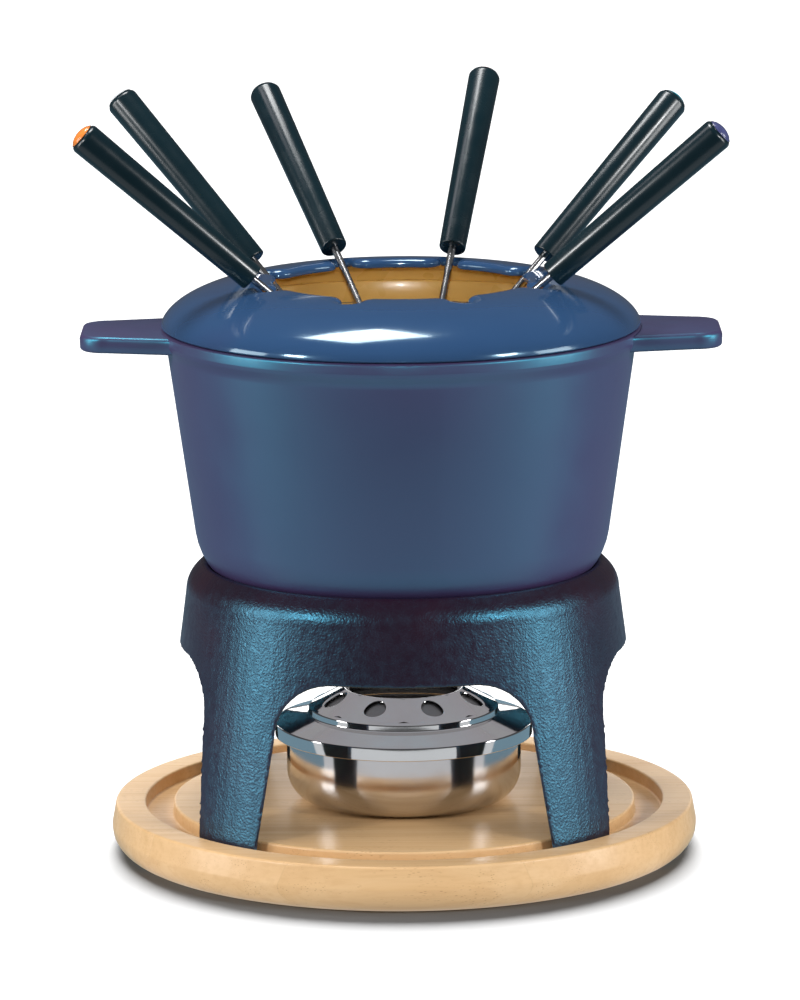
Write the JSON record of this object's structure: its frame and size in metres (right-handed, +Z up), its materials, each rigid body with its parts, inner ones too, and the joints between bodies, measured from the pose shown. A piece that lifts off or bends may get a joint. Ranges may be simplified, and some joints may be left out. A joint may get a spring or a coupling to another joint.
{
  "type": "fondue pot set",
  "caption": "Enamelled cast-iron fondue pot with a domed fork ring on an arched iron stand, with a spirit burner, colour-capped forks and a grooved round wooden base.",
  "frame": {"origin": "centre of the wooden base's underside, on the axis of the pot and stand", "axes": "+Z up, -Y the front that the burner slides out of, +X along the pot's right handle"},
  "size_m": [0.2697, 0.2503, 0.3159],
  "materials": {
    "wood": "clear satin lacquer over light hardwood",
    "stand_iron": "dark blue matt enamel with a pebbled skin",
    "pot_enamel": "blue enamel outside, ochre enamel inside",
    "ring_enamel": "gloss blue enamel",
    "burner_steel": "polished stainless steel",
    "mineral_wool": "pale mineral wool",
    "gauze": "woven steel wire",
    "burner_chrome": "mirror polished",
    "shutter_steel": "dull steel",
    "fork_plastic": "satin black plastic",
    "fork_steel": "polished stainless steel",
    "cap_orange": "coloured marker cap",
    "cap_white": "coloured marker cap",
    "cap_ochre": "coloured marker cap",
    "cap_red": "coloured marker cap",
    "cap_teal": "coloured marker cap",
    "cap_violet": "coloured marker cap"
  },
  "bodies": {
    "base": {"wooden_base": "wood"},
    "stand": {"stand": "stand_iron"},
    "pot": {"pot": "pot_enamel"},
    "ring": {"fork_ring": "ring_enamel"},
    "burner": {"burner_bowl": "burner_steel", "burner_pad": "mineral_wool", "burner_gauze": "gauze", "burner_gauze_ring": "burner_steel"},
    "cover": {"burner_cover": "burner_chrome"},
    "regulator": {"burner_regulator": "shutter_steel"},
    "fork_1": {"fork_1_handle": "fork_plastic", "fork_1_rod": "fork_steel", "fork_1_cap": "cap_orange"},
    "fork_2": {"fork_2_handle": "fork_plastic", "fork_2_rod": "fork_steel", "fork_2_cap": "cap_white"},
    "fork_3": {"fork_3_handle": "fork_plastic", "fork_3_rod": "fork_steel", "fork_3_cap": "cap_ochre"},
    "fork_4": {"fork_4_handle": "fork_plastic", "fork_4_rod": "fork_steel", "fork_4_cap": "cap_red"},
    "fork_5": {"fork_5_handle": "fork_plastic", "fork_5_rod": "fork_steel", "fork_5_cap": "cap_teal"},
    "fork_6": {"fork_6_handle": "fork_plastic", "fork_6_rod": "fork_steel", "fork_6_cap": "cap_violet"}
  },
  "joints": [
    {"name": "stand_lift", "type": "slide", "parent": "base", "child": "stand", "axis": [0, 0, 1], "range_m": [0, 0.08]},
    {"name": "pot_lift", "type": "slide", "parent": "stand", "child": "pot", "axis": [0, 0, 1], "range_m": [0, 0.1]},
    {"name": "ring_lift", "type": "slide", "parent": "pot", "child": "ring", "axis": [0, 0, 1], "range_m": [0, 0.12]},
    {"name": "fork_1_pull", "type": "slide", "parent": "ring", "child": "fork_1", "axis": [-0.7518, -0.0658, 0.6561], "range_m": [0, 0.16]},
    {"name": "fork_2_pull", "type": "slide", "parent": "ring", "child": "fork_2", "axis": [-0.6154, 0.3482, 0.7071], "range_m": [0, 0.16]},
    {"name": "fork_3_pull", "type": "slide", "parent": "ring", "child": "fork_3", "axis": [-0.3333, 0.6834, 0.6494], "range_m": [0, 0.16]},
    {"name": "fork_4_pull", "type": "slide", "parent": "ring", "child": "fork_4", "axis": [0.165, 0.6617, 0.7314], "range_m": [0, 0.16]},
    {"name": "fork_5_pull", "type": "slide", "parent": "ring", "child": "fork_5", "axis": [0.6135, 0.4296, 0.6626], "range_m": [0, 0.16]},
    {"name": "fork_6_pull", "type": "slide", "parent": "ring", "child": "fork_6", "axis": [0.7499, -0.0854, 0.6561], "range_m": [0, 0.16]},
    {"name": "burner_slide", "type": "slide", "parent": "base", "child": "burner", "axis": [0, -1, 0], "range_m": [0, 0.19]},
    {"name": "cover_lift", "type": "slide", "parent": "burner", "child": "cover", "axis": [0, 0, 1], "range_m": [0, 0.03]},
    {"name": "regulator_turn", "type": "hinge", "parent": "cover", "child": "regulator", "pos_m": [0, 0, 0.06], "axis": [0, 0, 1], "range_deg": [0, 22.5]}
  ]
}
